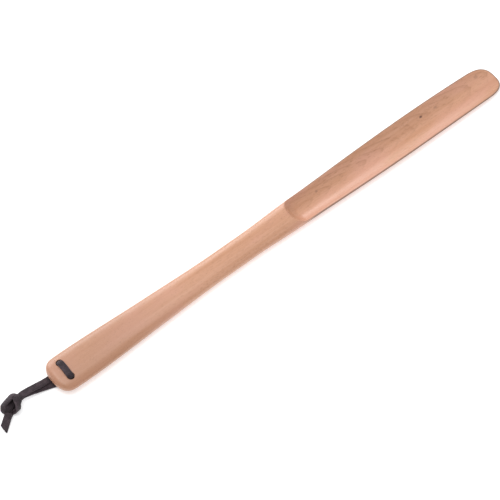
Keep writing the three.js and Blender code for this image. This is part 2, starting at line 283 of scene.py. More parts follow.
class SkinTree:
    """A geometry node tree that wraps a closed skin round the points of a spine mesh."""

    def __init__(self, name: str) -> None:
        """Start a tree that takes a spine and gives a mesh.

        Args:
            name: Name of the tree.
        """
        self.tree = bpy.data.node_groups.new(name, "GeometryNodeTree")
        self.tree.interface.new_socket("Spine", in_out="INPUT", socket_type="NodeSocketGeometry")
        self.tree.interface.new_socket("Mesh", in_out="OUTPUT", socket_type="NodeSocketGeometry")
        self.entry = self.tree.nodes.new("NodeGroupInput")
        self.exit = self.tree.nodes.new("NodeGroupOutput")

    def node(self, kind: str, **settings: object) -> bpy.types.Node:
        """Add a node.

        Args:
            kind: Node type.
            settings: Properties to set on it.

        Returns:
            The node.
        """
        node = self.tree.nodes.new(kind)
        for key, setting in settings.items():
            setattr(node, key, setting)
        return node

    def link(self, start: Socket, end: Socket) -> None:
        """Join two sockets."""
        self.tree.links.new(start, end)

    def input(self, name: str, kind: str = "NodeSocketFloat") -> Socket:
        """Add a named input to the tree."""
        self.tree.interface.new_socket(name, in_out="INPUT", socket_type=kind)
        return self.entry.outputs[name]

    def sizes(self, *names: str) -> list[Value]:
        """Add named number inputs."""
        return [Value(self.tree, self.input(name)) for name in names]

    def tube(self, sides: Socket | int, rings: Socket | int) -> Socket:
        """Add a closed tube of unit size whose rings are numbered upwards.

        Args:
            sides: Number of points round a ring.
            rings: Number of steps along the tube.

        Returns:
            The tube's mesh socket.
        """
        node = self.node("GeometryNodeMeshCylinder", fill_type="NGON")
        feed(self.tree, sides, node.inputs["Vertices"])
        feed(self.tree, rings, node.inputs["Side Segments"])
        node.inputs["Radius"].default_value = 1.0
        node.inputs["Depth"].default_value = 1.0
        return node.outputs["Mesh"]

    def unit_place(self) -> tuple[Value, Value, Value]:
        """Cosine and sine of a point's place round the unit tube, and its height on it."""
        return split(self.tree, self.node("GeometryNodeInputPosition").outputs[0])

    def ring_place(self, rings: Socket) -> tuple[Value, Value, Value]:
        """Find where a point of the unit tube is.

        Args:
            rings: Number of steps along the tube.

        Returns:
            The ring's number, and the cosine and sine of the point's place round the ring.
        """
        cosine, sine, height = self.unit_place()
        number = ((height + 0.5) * Value(self.tree, rings)).apply("ROUND")
        return number, cosine, sine

    def from_spine(
        self, spine: Socket, name: str, number: Value, kind: str = "FLOAT"
    ) -> Socket:
        """Read a value that the spine carries at a ring.

        Args:
            spine: The spine's mesh socket.
            name: Name of the attribute, or "position".
            number: The ring's number.
            kind: FLOAT or FLOAT_VECTOR.

        Returns:
            The socket with the value.
        """
        sample = self.node("GeometryNodeSampleIndex", data_type=kind, domain="POINT", clamp=True)
        self.link(spine, sample.inputs["Geometry"])
        if name == "position":
            source = self.node("GeometryNodeInputPosition").outputs[0]
        else:
            attribute = self.node("GeometryNodeInputNamedAttribute", data_type=kind)
            attribute.inputs["Name"].default_value = name
            source = attribute.outputs["Attribute"]
        self.link(source, sample.inputs["Value"])
        self.link(number.socket, sample.inputs["Index"])
        return sample.outputs["Value"]

    def numbers(self, spine: Socket, number: Value, *names: str) -> list[Value]:
        """Read numbers that the spine carries at a ring."""
        return [Value(self.tree, self.from_spine(spine, name, number)) for name in names]

    def vectors(self, spine: Socket, number: Value, *names: str) -> list[tuple[Value, Value, Value]]:
        """Read vectors that the spine carries at a ring, taken apart."""
        found = (self.from_spine(spine, name, number, "FLOAT_VECTOR") for name in names)
        return [split(self.tree, vector) for vector in found]

    def store(self, mesh: Socket, name: str, value: Socket, kind: str = "FLOAT") -> Socket:
        """Store a named attribute on a mesh's points.

        Args:
            mesh: Mesh socket.
            name: Name of the attribute.
            value: Socket with the value.
            kind: FLOAT or FLOAT_VECTOR.

        Returns:
            The mesh socket that carries it.
        """
        node = self.node("GeometryNodeStoreNamedAttribute", data_type=kind, domain="POINT")
        node.inputs["Name"].default_value = name
        self.link(mesh, node.inputs["Geometry"])
        self.link(value, node.inputs["Value"])
        return node.outputs["Geometry"]

    def placed(self, mesh: Socket, position: Socket) -> Socket:
        """Move a mesh's points to new places.

        Args:
            mesh: Mesh socket.
            position: Vector socket with the new places.

        Returns:
            The moved mesh socket.
        """
        node = self.node("GeometryNodeSetPosition")
        self.link(mesh, node.inputs["Geometry"])
        self.link(position, node.inputs["Position"])
        return node.outputs["Geometry"]

    def close(self, mesh: Socket) -> None:
        """End the tree: shade smooth, realize instances and set the finish.

        Args:
            mesh: The finished mesh socket.
        """
        smooth = self.node("GeometryNodeSetShadeSmooth")
        realize = self.node("GeometryNodeRealizeInstances")
        finish = self.node("GeometryNodeSetMaterial")
        self.link(mesh, smooth.inputs[0])
        self.link(smooth.outputs[0], realize.inputs[0])
        self.link(realize.outputs[0], finish.inputs["Geometry"])
        self.link(self.input("Finish", "NodeSocketMaterial"), finish.inputs["Material"])
        self.link(finish.outputs["Geometry"], self.exit.inputs["Mesh"])

    def skin(self, name: str, spine: bpy.types.Mesh, sizes: dict[str, object]) -> bpy.types.Object:
        """Run the tree on a spine and keep the result as a plain mesh.

        Args:
            name: Name of the new piece.
            spine: Mesh whose points and attributes the skin follows.
            sizes: Value of each named input.

        Returns:
            The new piece, at the origin.
        """
        holder = add_object(f"{name}_spine", spine)
        modifier = holder.modifiers.new("skin", "NODES")
        modifier.node_group = self.tree
        for item in self.tree.interface.items_tree:
            if item.item_type == "SOCKET" and item.in_out == "INPUT" and item.name in sizes:
                modifier[item.identifier] = sizes[item.name]
        depsgraph = bpy.context.evaluated_depsgraph_get()
        depsgraph.update()
        mesh = bpy.data.meshes.new_from_object(
            holder.evaluated_get(depsgraph), preserve_all_data_layers=True, depsgraph=depsgraph
        )
        holder.modifiers.remove(modifier)
        bpy.data.objects.remove(holder)
        mesh.name = name
        return add_object(name, mesh)


def spine_mesh(
    name: str,
    points: list[Vector],
    numbers: dict[str, list[float]],
    vectors: dict[str, list[Vector]] | None = None,
) -> bpy.types.Mesh:
    """Make the mesh of loose points that a skin follows.

    Args:
        name: Name of the mesh.
        points: Places of the points.
        numbers: Number attributes by name, one number for each point.
        vectors: Vector attributes by name, one vector for each point.

    Returns:
        The mesh.
    """
    mesh = bpy.data.meshes.new(name)
    mesh.from_pydata([tuple(point) for point in points], [], [])
    for key, values in numbers.items():
        mesh.attributes.new(key, "FLOAT", "POINT").data.foreach_set("value", values)
    for key, values in (vectors or {}).items():
        flat = [number for vector in values for number in vector]
        mesh.attributes.new(key, "FLOAT_VECTOR", "POINT").data.foreach_set("vector", flat)
    return mesh


# ---------------------------------------------------------------------------------------------
# Finishes
# ---------------------------------------------------------------------------------------------


def colour(red: int, green: int, blue: int) -> Colour:
    """Turn a display colour into the linear one that shaders take.

    Args:
        red: Red, 0 to 255.
        green: Green, 0 to 255.
        blue: Blue, 0 to 255.

    Returns:
        Linear red, green and blue, and full opacity.
    """

    def linear(share: float) -> float:
        """Linear value of one display value."""
        return share / 12.92 if share <= 0.04045 else ((share + 0.055) / 1.055) ** 2.4

    return (linear(red / 255), linear(green / 255), linear(blue / 255), 1.0)


class Paint:
    """Helper that builds one procedural material."""

    def __init__(self, name: str) -> None:
        """Start a material with a principled shader.

        Args:
            name: Name of the material.
        """
        self.material = bpy.data.materials.new(name)
        self.material.use_nodes = True
        self.tree = self.material.node_tree
        self.shader = self.tree.nodes["Principled BSDF"]

    def constant(self, **sockets: float) -> None:
        """Set plain numbers on the shader's own sockets, named with _ for a space."""
        for key, number in sockets.items():
            name = key.replace("_", " ").title().replace("Ior", "IOR")
            self.shader.inputs[name].default_value = number

    def object_place(self) -> Socket:
        """Object coordinates."""
        return self.tree.nodes.new("ShaderNodeTexCoord").outputs["Object"]

    def attribute(self, name: str, output: str = "Fac") -> Socket:
        """Read an attribute that the piece carries.

        Args:
            name: Name of the attribute.
            output: Fac for a number, Vector for a vector.

        Returns:
            The socket with the value.
        """
        node = self.tree.nodes.new("ShaderNodeAttribute")
        node.attribute_name = name
        return node.outputs[output]

    def scaled(self, place: Socket, scale: Triple) -> Socket:
        """Scale coordinates, in pattern units for each metre.

        Args:
            place: Coordinates.
            scale: Factors for the three axes.

        Returns:
            The scaled coordinates.
        """
        node = self.tree.nodes.new("ShaderNodeMapping")
        node.inputs["Scale"].default_value = scale
        self.tree.links.new(place, node.inputs["Vector"])
        return node.outputs["Vector"]

    def noise(
        self, place: Socket, scale: Triple, detail: float = 3.0, roughness: float = 0.5
    ) -> Value:
        """Noise over scaled coordinates.

        Args:
            place: Coordinates.
            scale: Pattern units for each metre on the three axes.
            detail: Number of finer octaves.
            roughness: Strength of the finer octaves.

        Returns:
            The noise, about 0.5 on average.
        """
        node = self.tree.nodes.new("ShaderNodeTexNoise")
        node.inputs["Scale"].default_value = 1.0
        node.inputs["Detail"].default_value = detail
        node.inputs["Roughness"].default_value = roughness
        self.tree.links.new(self.scaled(place, scale), node.inputs["Vector"])
        return Value(self.tree, node.outputs["Fac"])

    def cells(self, place: Socket, scale: Triple, feature: str = "F1") -> tuple[Value, Value]:
        """Voronoi cells over scaled coordinates.

        Args:
            place: Coordinates.
            scale: Pattern units for each metre on the three axes.
            feature: F1 or DISTANCE_TO_EDGE.

        Returns:
            The distance, and a random number for each cell (with F1).
        """
        node = self.tree.nodes.new("ShaderNodeTexVoronoi")
        node.feature = feature
        node.inputs["Scale"].default_value = 1.0
        self.tree.links.new(self.scaled(place, scale), node.inputs["Vector"])
        pick = node.outputs["Color"] if feature == "F1" else node.outputs["Distance"]
        return Value(self.tree, node.outputs["Distance"]), Value(self.tree, pick)

    def specks(
        self, place: Socket, scale: Triple, reach: tuple[float, float], pick: tuple[float, float]
    ) -> Value:
        """Soft specks in some of the cells over scaled coordinates."""
        distance, chance = self.cells(place, scale)
        return distance.between(*reach) * chance.between(*pick)

    def blend(self, share: Value, first: Socket | Colour, second: Socket | Colour) -> Socket:
        """Mix two colours.

        Args:
            share: 0 for the first colour, 1 for the second.
            first: Colour or colour socket.
            second: Colour or colour socket.

        Returns:
            The mixed colour.
        """
        node = self.tree.nodes.new("ShaderNodeMix")
        node.data_type = "RGBA"
        feed(self.tree, share, node.inputs["Factor"])
        for name, value in (("A", first), ("B", second)):
            feed(self.tree, value, next(s for s in node.inputs if s.name == name and s.type == "RGBA"))
        return next(s for s in node.outputs if s.type == "RGBA")

    def finish(
        self, tint: Socket, roughness: Value, height: Value, depth: float
    ) -> bpy.types.Material:
        """Join colour, roughness and relief to the shader.

        Args:
            tint: Colour socket.
            roughness: Roughness.
            height: Relief, about 0 to 1.
            depth: Metres that a relief of 1 stands for.

        Returns:
            The finished material.
        """
        bump = self.tree.nodes.new("ShaderNodeBump")
        bump.inputs["Strength"].default_value = 1.0
        bump.inputs["Distance"].default_value = depth
        self.tree.links.new(height.socket, bump.inputs["Height"])
        self.tree.links.new(tint, self.shader.inputs["Base Color"])
        self.tree.links.new(roughness.socket, self.shader.inputs["Roughness"])
        self.tree.links.new(bump.outputs["Normal"], self.shader.inputs["Normal"])
        return self.material


@dataclass(frozen=True)
class BeechFinish:
    """Steamed beech under satin lacquer: faint growth rings, long streaks and short dark rays, with
    painted shade along the blade's outer edges.
    """

    light: Tint = (210, 158, 127)
    warm: Tint = (193, 137, 101)
    pink: Tint = (210, 154, 131)
    ring: Tint = (156, 104, 68)
    ray: Tint = (128, 82, 54)
    spot: Tint = (84, 46, 28)
    # painted shade: grey-brown for the blade's outer edges, standing for the edge in shade over a
    # slightly burnished edge
    rim: Tint = (108, 86, 76)
    butt: Tint = (166, 116, 86)
    heart_y: float = 0.0095
    heart_z: float = -0.034
    heart_tilt: float = 0.115
    ring_width: float = 0.0026
    ring_strength: float = 0.42
    figure_start: float = 0.01
    figure_full: float = 0.05
    pin_knots: tuple[tuple[float, float, float, float], ...] = (
        (0.186, 0.0088, 0.0012, 0.85),
        (0.0515, 0.0072, 0.0011, 0.40),
        (0.259, 0.0100, 0.0018, 0.28),
        (0.2045, 0.0084, 0.0014, 0.30),
    )

    def ring_phase(self, paint: Paint, place: Socket) -> Value:
        """Count growth rings from a heart that runs slightly askew below the wood.

        Args:
            paint: Material under construction.
            place: Object coordinates.

        Returns:
            The number of rings passed, with its fraction.
        """
        x, y, z = split(paint.tree, place)
        sway = paint.noise(place, (9.0, 60.0, 60.0), detail=2.0) - 0.5
        ripple = paint.noise(place, (70.0, 420.0, 420.0), detail=2.0) - 0.5
        across = y - self.heart_y + sway * 0.004
        above = z - self.heart_z + x * self.heart_tilt + sway * 0.005 + ripple * 0.0006
        return (across * across + above * above).apply("SQRT") / self.ring_width

    def build(self) -> bpy.types.Material:
        """Build the material.

        Returns:
            The beech material.
        """
        paint = Paint("lacquered_beech")
        place = paint.object_place()
        x, y, _ = split(paint.tree, place)
        streak = paint.noise(place, (5.0, 260.0, 260.0), detail=4.0, roughness=0.6)
        cloud = paint.noise(place, (14.0, 45.0, 45.0), detail=2.0)
        mottle = paint.noise(place, (240.0, 640.0, 640.0), detail=3.0, roughness=0.65)
        tint = paint.blend(streak.between(0.24, 0.80), colour(*self.light), colour(*self.warm))
        tint = paint.blend(mottle.between(0.50, 0.74) * 0.32, tint, colour(*self.ring))
        tint = paint.blend(cloud.between(0.42, 0.68) * 0.6, tint, colour(*self.pink))
        tint = paint.blend(x.between(-0.09, -0.22) * 0.55, tint, colour(*self.butt))

        share = self.ring_phase(paint, place).apply("FRACT")
        late = share ** 5.0 * (1.0 - share ** 40.0)
        figure = x.between(self.figure_start, self.figure_full) * 0.6 + 0.25
        side = (y - self.heart_y).size().between(0.013, 0.004) * 0.75 + 0.25
        broken = paint.noise(place, (55.0, 300.0, 300.0), detail=2.0).between(0.33, 0.56)
        lines = (late * figure * side * broken * self.ring_strength * 1.6).clamped()
        tint = paint.blend(lines, tint, colour(*self.ring))

        blotches = paint.specks(place, (150.0, 520.0, 520.0), (0.46, 0.14), (0.5, 0.8))
        near_heart = (y - self.heart_y * 0.9).size().between(0.009, 0.003)
        blotches = blotches * near_heart * x.between(self.figure_start, self.figure_full)
        tint = paint.blend(blotches * 0.45, tint, colour(*self.ring))

        rays = paint.specks(place, (330.0, 1500.0, 1500.0), (0.42, 0.18), (0.55, 0.8))
        tint = paint.blend(rays * 0.34, tint, colour(*self.ray))
        pores = paint.specks(place, (900.0, 4200.0, 4200.0), (0.40, 0.15), (0.5, 0.7))
        tint = paint.blend(pores * 0.16, tint, colour(*self.ray))

        ragged = paint.noise(place, (500.0, 900.0, 900.0)) - 0.5
        for spot_x, spot_y, radius, strength in self.pin_knots:
            dx, dy = x - spot_x, y - spot_y
            away = (dx * dx * 0.35 + dy * dy).apply("SQRT") / radius + ragged * 1.2
            tint = paint.blend(away.between(1.3, 0.3) * strength, tint, colour(*self.spot))

        # painted shade on the blade's outer edges, partly a burnished edge, mostly the edge in shade
        rim = Value(paint.tree, paint.attribute("rim"))
        tint = paint.blend((rim * 2.2).clamped() * 0.7, tint, colour(*self.rim))

        paint.constant(ior=1.5, coat_weight=0.6, coat_roughness=0.32)
        roughness = 0.40 + (streak - 0.5) * 0.10 + rays * 0.08
        relief = (streak * 0.4 - rays * 0.5 - pores * 0.4).clamped()
        return paint.finish(tint, roughness, relief, 0.00006)


@dataclass(frozen=True)
class LeatherFinish:
    """Dark matt leather lace with fine pores, cross creases and paler cut edges."""

    face: Tint = (68, 54, 61)
    dark: Tint = (34, 22, 29)
    edge: Tint = (84, 69, 75)

    def build(self) -> bpy.types.Material:
        """Build the material.

        Returns:
            The leather material.
        """
        paint = Paint("dark_leather")
        place = paint.attribute("lace_place", "Vector")
        wide = paint.noise(place, (160.0, 160.0, 160.0), detail=3.0)
        mottle = paint.noise(place, (900.0, 1300.0, 900.0), detail=3.0, roughness=0.6)
        creases = paint.noise(place, (1500.0, 260.0, 400.0), detail=2.0)
        grain, _ = paint.cells(place, (2300.0, 2300.0, 2300.0), "DISTANCE_TO_EDGE")
        grooves = grain.between(0.12, 0.0)
        tint = paint.blend(wide.between(0.35, 0.7), colour(*self.dark), colour(*self.face))
        tint = paint.blend(mottle.between(0.45, 0.75) * 0.5, tint, colour(*self.edge))
        tint = paint.blend(grooves * 0.5, tint, colour(*self.dark))
        cut = Value(paint.tree, paint.attribute("cut_edge"))
        tint = paint.blend((cut * mottle * 0.9).clamped(), tint, colour(*self.edge))
        paint.constant(ior=1.45, sheen_weight=0.06, sheen_roughness=0.5)
        roughness = 0.62 + (mottle - 0.5) * 0.25 + grooves * 0.1
        relief = (0.4 + creases * 0.45 + mottle * 0.25 - grooves * 0.5).clamped()
        return paint.finish(tint, roughness, relief, 0.00014)


@dataclass(frozen=True)
class FloorFinish:
    """Plain pale light table with the faintest mottling."""

    light: Tint = (251, 251, 251)
    dark: Tint = (249, 249, 250)
    glow: float = 0.38

    def build(self) -> bpy.types.Material:
        """Build the material.

        Returns:
            The floor material.
        """
        paint = Paint("pale_floor")
        place = paint.object_place()
        mottle = paint.noise(place, (3.0, 3.0, 3.0))
        tint = paint.blend(mottle.between(0.3, 0.7), colour(*self.light), colour(*self.dark))
        paint.shader.inputs["Emission Color"].default_value = (1.0, 1.0, 1.0, 1.0)
        paint.constant(specular_ior_level=0.0, emission_strength=self.glow)
        return paint.finish(tint, 0.9 + mottle * 0.05, mottle, 0.0)


# ---------------------------------------------------------------------------------------------
# Wood
# ---------------------------------------------------------------------------------------------


@dataclass
class Profile:
    """A smooth curve through stations that never swings past them."""

    stations: tuple[tuple[float, float], ...]

    def __post_init__(self) -> None:
        """Work out the curve's slope at each station."""
        rises = [
            (v1 - v0) / (x1 - x0)
            for (x0, v0), (x1, v1) in zip(self.stations, self.stations[1:])
        ]
        self.slopes = [0.0] * len(self.stations)
        for i, (before, after) in enumerate(zip(rises, rises[1:]), start=1):
            if before * after > 0:
                self.slopes[i] = 2 * before * after / (before + after)
        self.slopes[0] = 2 * rises[0] - self.slopes[1]
        self.slopes[-1] = 2 * rises[-1] - self.slopes[-2]

    def at(self, x: float) -> float:
        """Value at a place.

        Args:
            x: Place along the stations, kept inside them.

        Returns:
            The value.
        """
        x = min(max(x, self.stations[0][0]), self.stations[-1][0])
        i = 0
        while i < len(self.stations) - 2 and x > self.stations[i + 1][0]:
            i += 1
        (x0, v0), (x1, v1) = self.stations[i], self.stations[i + 1]
        span = x1 - x0
        u = (x - x0) / span
        bend = self.slopes[i] * u * (1 - u) ** 2 + self.slopes[i + 1] * u * u * (u - 1)
        return v0 + (v1 - v0) * u * u * (3 - 2 * u) + span * bend


def even(start: float, end: float, step: float) -> list[float]:
    """Even steps that leave out the end."""
    count = max(1, round((end - start) / step))
    return [start + (end - start) * i / count for i in range(count)]


@dataclass
class WoodenBody:
    """The carved beech body."""

    finish: BeechFinish = field(default_factory=BeechFinish)
    butt_x: float = -0.275
    tip_x: float = 0.275
    butt_round: float = 0.0155
    tip_round: float = 0.024
    scoop_x: float = 0.011
    scoop_ramp: float = 0.013
    shoulder_end: float = 0.055
    waist: tuple[float, float] = (-0.073, -0.039)
    land: tuple[float, float] = (-0.170, 0.045)
    blade_widest: float = 0.165
    handle_fullness: float = 2.5
    blade_fullness: float = 2.1
    crown: float = 0.0066
    edge_height: float = 0.007
    back_sunk: float = 0.0003
    scoop_wall: float = 0.003
    rim_width: float = 0.0017
    hole_x: float = -0.2592
    hole_y: float = 0.00875
    hole_radius: float = 0.0037
    hole_rings: int = 64
    mouth_round: float = 0.0003
    sides: int = 132

    def __post_init__(self) -> None:
        """Work out the profiles that the carving follows."""
        butt, tip, scoop = self.butt_x, self.tip_x, self.scoop_x
        shoulder, blade = self.shoulder_end, self.blade_widest
        self.half_width = Profile(
            (
                (butt, 0.0191),
                (butt + 0.024, 0.0196),
                (butt + 0.122, 0.01615),
                (self.waist[0], 0.0137),
                (self.waist[1], 0.0137),
                (scoop, 0.0154),
                (blade, 0.0187),
                (tip, 0.0173),
            )
        )
        self.edge = Profile(
            (
                (butt, 0.0082),
                (self.land[0], self.edge_height),
                (scoop, self.edge_height),
                (blade, 0.0068),
                (tip, 0.0032),
            )
        )
        self.back = Profile(
            (
                (butt, 0.0042),
                (self.land[0], -self.back_sunk),
                (self.land[1], -self.back_sunk),
                (tip, 0.0008),
            )
        )
        self.front_rise = Profile(
            ((butt, self.crown), (scoop, self.crown), (shoulder, 0.0013), (tip, 0.0008))
        )
        self.back_fullness = Profile(
            (
                (butt, self.handle_fullness),
                (scoop, self.handle_fullness),
                (shoulder, self.blade_fullness),
                (tip, self.blade_fullness),
            )
        )
        self.wall = Profile(((scoop, self.scoop_wall), (tip, 0.0018)))

    def front(self, x: float, y: float) -> float:
        """Height of the uncut front.

        Args:
            x: Place along the wood.
            y: Place across it.

        Returns:
            The height above the surface that the wood lies on.
        """
        share = min(abs(y) / self.half_width.at(x), 1.0)
        full = self.handle_fullness
        return self.edge.at(x) + self.front_rise.at(x) * (1 - share**full) ** (1 / full)

    def scoop_rise(self, x: float) -> float:
        """How fast the scoop's surface climbs to the rims, for each metre across squared.

        Args:
            x: Place along the wood.

        Returns:
            The factor.
        """
        settled = max(x, self.shoulder_end)
        rim = self.front(settled, self.half_width.at(settled) - self.rim_width)
        floor = self.back.at(settled) + self.wall.at(settled)
        return (rim - floor) / (self.half_width.at(x) - self.rim_width) ** 2

    def stations(self) -> list[float]:
        """Places along the wood, close together where the shape changes fast.

        Returns:
            The places, butt first.
        """
        ends = 26  # rings that round each end
        eased = [1 - math.cos(i / ends * math.pi / 2) for i in range(ends + 1)]
        past_hole = self.hole_x + 0.0055
        ramp = (self.scoop_x - 0.012, self.scoop_x + 0.034)
        return [
            *(self.butt_x + self.butt_round * share for share in eased[:-1]),
            *even(self.butt_x + self.butt_round, past_hole, 0.0006),
            *even(past_hole, ramp[0], 0.003),
            *even(*ramp, 0.0006),
            *even(ramp[1], self.tip_x - self.tip_round, 0.0024),
            *(self.tip_x - self.tip_round * share for share in reversed(eased)),
        ]

    def spine(self) -> bpy.types.Mesh:
        """Lay the profiles out as attributes along a row of points.

        Returns:
            The spine's mesh.
        """
        places = self.stations()
        return spine_mesh(
            "wood_spine",
            [Vector((x, 0, 0)) for x in places],
            {
                "half_width": [self.half_width.at(x) for x in places],
                "edge": [self.edge.at(x) for x in places],
                "back": [self.back.at(x) for x in places],
                "crown": [self.front_rise.at(x) for x in places],
                "back_fullness": [self.back_fullness.at(x) for x in places],
                "scoop_floor": [self.back.at(x) + self.wall.at(x) for x in places],
                "scoop_rise": [self.scoop_rise(x) for x in places],
            },
        )

    def bore(self, maker: SkinTree, side: int, radius: Value, mouth: Value) -> Socket:
        """Add one lace hole's cutter, flared where it meets the front and the back.

        Args:
            maker: Tree under construction.
            side: 1 for the +Y hole, -1 for the other.
            radius: The hole's radius.
            mouth: Radius of the rounding at the mouths.

        Returns:
            The cutter's mesh socket.
        """
        nudge = 0.001  # step used to find how the faces slope
        over = 0.0016  # the cutter runs past each face by this
        flat = 0.97  # share of the mouth's rounding that is used, so that it never turns level
        cosine, sine, height = maker.unit_place()
        front, front_out = (self.front(self.hole_x, self.hole_y + out) for out in (0.0, nudge))
        back, back_out = (self.under(self.hole_x, self.hole_y + out) for out in (0.0, nudge))
        slope, back_slope = (front_out - front) / nudge, (back_out - back) / nudge
        middle = (front + back) / 2
        half = (front - back) / 2 + over
        up = height * 2.0
        eased = up.sign() * (1.0 - (1.0 - up.size()) ** 1.6)
        level = eased * half
        past = (level.size() - (half - over) + mouth * flat).most(0.0)
        inside = past.least(mouth * flat)
        flare = mouth - (mouth * mouth - inside * inside).apply("SQRT")
        beyond = (past - mouth * flat).most(0.0) * 2.5
        reach = radius + flare + beyond
        y = sine * reach
        lean = level.between(-nudge, nudge)
        tilt = (lean * slope + (1.0 - lean) * back_slope) * float(side)
        z = level + middle + tilt * y
        moved = joined(maker.tree, cosine * reach + self.hole_x, y + side * self.hole_y, z)
        return maker.placed(maker.tube(self.hole_rings, self.hole_rings), moved)

    def under(self, x: float, y: float) -> float:
        """Height of the back.

        Args:
            x: Place along the wood.
            y: Place across it.

        Returns:
            The height above the surface that the wood lies on.
        """
        share = min(abs(y) / self.half_width.at(x), 1.0)
        full = self.back_fullness.at(x)
        drop = (self.edge.at(x) - self.back.at(x)) * (1 - share**full) ** (1 / full)
        return self.edge.at(x) - drop

    def tree(self) -> SkinTree:
        """Build the tree that carves the body.

        Returns:
            The tree.
        """
        maker = SkinTree("carved_body")
        spine = maker.entry.outputs["Spine"]
        sides = maker.input("Sides", "NodeSocketInt")
        rings = maker.input("Rings", "NodeSocketInt")
        fullness, butt_x, tip_x = maker.sizes("Handle Fullness", "Butt End", "Tip End")
        butt_round, butt_full = maker.sizes("Butt Round", "Butt Round Fullness")
        edge_round, edge_full = maker.sizes("Butt Edge Round", "Butt Edge Fullness")
        tip_round, tip_full, tip_edge = maker.sizes("Tip Round", "Tip Round Fullness", "Tip Edge Round")
        scoop_x, ramp_length, scoop_drop = maker.sizes("Scoop Start", "Scoop Ramp", "Scoop Drop")
        softness, rim_width = maker.sizes("Rim Softness", "Painted Rim Shade Width")
        bore_radius, mouth = maker.sizes("Hole Radius", "Hole Mouth Round")

        number, cosine, sine = maker.ring_place(rings)
        ((x, _, _),) = maker.vectors(spine, number, "position")
        half, edge, back, crown = maker.numbers(spine, number, "half_width", "edge", "back", "crown")
        back_fullness, floor, bend = maker.numbers(
            spine, number, "back_fullness", "scoop_floor", "scoop_rise"
        )

        def left(distance: Value, length: Value, full: Value) -> Value:
            """Share of the full size left at a distance from a rounded end."""
            reach = (1.0 - distance / length).clamped()
            return (1.0 - reach**full * 0.9995).most(0.0) ** (1.0 / full)

        is_front = sine.apply("GREATER_THAN", 0.0)
        round_fullness = back_fullness.towards(fullness, is_front)
        spread = cosine.size() ** (2.0 / round_fullness)
        wide = left(x - butt_x, butt_round, butt_full)
        tall = left(x - butt_x, edge_round, edge_full)
        tip_share = left(tip_x - x, tip_round, tip_full)
        share = spread * tip_share
        y = cosine.sign() * share * half * wide

        front = edge + crown * tall * (1.0 - share**fullness).most(0.0) ** (1.0 / fullness)
        depth = (edge - back) * tall
        under = edge - depth * (1.0 - share**back_fullness).most(0.0) ** (1.0 / back_fullness)
        under = under.most(0.0)
        ramp = ((scoop_x + ramp_length - x) / ramp_length).most(0.0).least(2.0)
        scoop = floor + scoop_drop * ramp * ramp + bend * y * y
        soft = softness.least(crown * 0.7)
        mix = ((scoop - front) / soft * 0.5 + 0.5).clamped()
        cut = scoop.towards(front, mix) - soft * mix * (1.0 - mix)
        cut = cut.most(under)

        reach = (1.0 - (tip_x - x) / tip_round).clamped()
        outline = share**tip_full + reach**tip_full
        steep_y = tip_full * share ** (tip_full - 1.0) / half
        steep_x = tip_full * reach ** (tip_full - 1.0) / tip_round
        steepness = (steep_y * steep_y + steep_x * steep_x).apply("SQRT").most(1.0)
        away = (1.0 - outline).most(0.0) / steepness
        near = (1.0 - away / tip_edge).clamped()
        rounding = (1.0 - near * near).most(0.0).apply("SQRT")
        rounding = rounding.towards(1.0, 1.0 - reach.between(0.0, 0.25))
        middle = (cut + under) * 0.5
        top = middle + (cut - middle) * rounding
        bottom = middle + (under - middle) * rounding
        z = bottom.towards(top, is_front)

        body = maker.tube(sides, rings)
        # mask for the painted shade along the blade's outer edges, which the beech finish reads as rim
        blade = x.between(self.scoop_x, self.shoulder_end)
        rim = (1.0 - away / rim_width).clamped() * blade
        body = maker.store(body, "rim", rim.socket)
        body = maker.placed(body, joined(maker.tree, x, y, z))
        cutter = maker.node("GeometryNodeMeshBoolean", operation="DIFFERENCE", solver="MANIFOLD")
        maker.link(body, cutter.inputs["Mesh 1"])
        for side in (1, -1):
            maker.link(self.bore(maker, side, bore_radius, mouth), cutter.inputs["Mesh 2"])
        maker.close(cutter.outputs["Mesh"])
        return maker

    def build(self) -> bpy.types.Object:
        """Carve the body and give it its finish.

        Returns:
            The finished piece.
        """
        spine = self.spine()
        piece = self.tree().skin(
            "beech_body",
            spine,
            {
                "Sides": self.sides,
                "Rings": len(spine.vertices) - 1,
                "Handle Fullness": self.handle_fullness,
                "Butt End": self.butt_x,
                "Tip End": self.tip_x,
                "Butt Round": self.butt_round,
                "Butt Round Fullness": 2.6,
                "Butt Edge Round": 0.007,
                "Butt Edge Fullness": 2.2,
                "Tip Round": self.tip_round,
                "Tip Round Fullness": 2.8,
                "Tip Edge Round": 0.0009,
                "Scoop Start": self.scoop_x,
                "Scoop Ramp": self.scoop_ramp,
                "Scoop Drop": self.edge_height + self.crown + self.back_sunk - self.scoop_wall,
                "Rim Softness": 0.0009,
                "Painted Rim Shade Width": 0.0016,
                "Hole Radius": self.hole_radius,
                "Hole Mouth Round": self.mouth_round,
                "Finish": self.finish.build(),
            },
        )
        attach(piece, Part.WOOD.value)
        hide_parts("shoehorn_body")
        return piece


# ---------------------------------------------------------------------------------------------
# Lace
# ---------------------------------------------------------------------------------------------


@dataclass
class Run:
    """A stretch of lace: its middle line, which way its width and face point, and its cupping."""

    points: list[Vector]
    across: list[Vector]
    out: list[Vector]
    along: list[Vector]
    curl: list[float]

    def length(self) -> float:
        """Length of the middle line."""
        return sum((b - a).length for a, b in zip(self.points, self.points[1:]))

    def shifted(self, outward: float, sideways: float) -> Run:
        """The same stretch moved along its own directions.

        Args:
            outward: How far to move towards the face.
            sideways: How far to move along the width.

        Returns:
            The moved stretch.
        """
        points = [
            point + face * outward + side * sideways
            for point, face, side in zip(self.points, self.out, self.across)
        ]
        return Run(points, self.across, self.out, self.along, self.curl)


@dataclass(frozen=True)
class Mark:
    """A chosen point of a run, with a hint for its width or face and how hard the lace is cupped."""

    place: Triple
    hint: Triple
    curl: float = 1.0


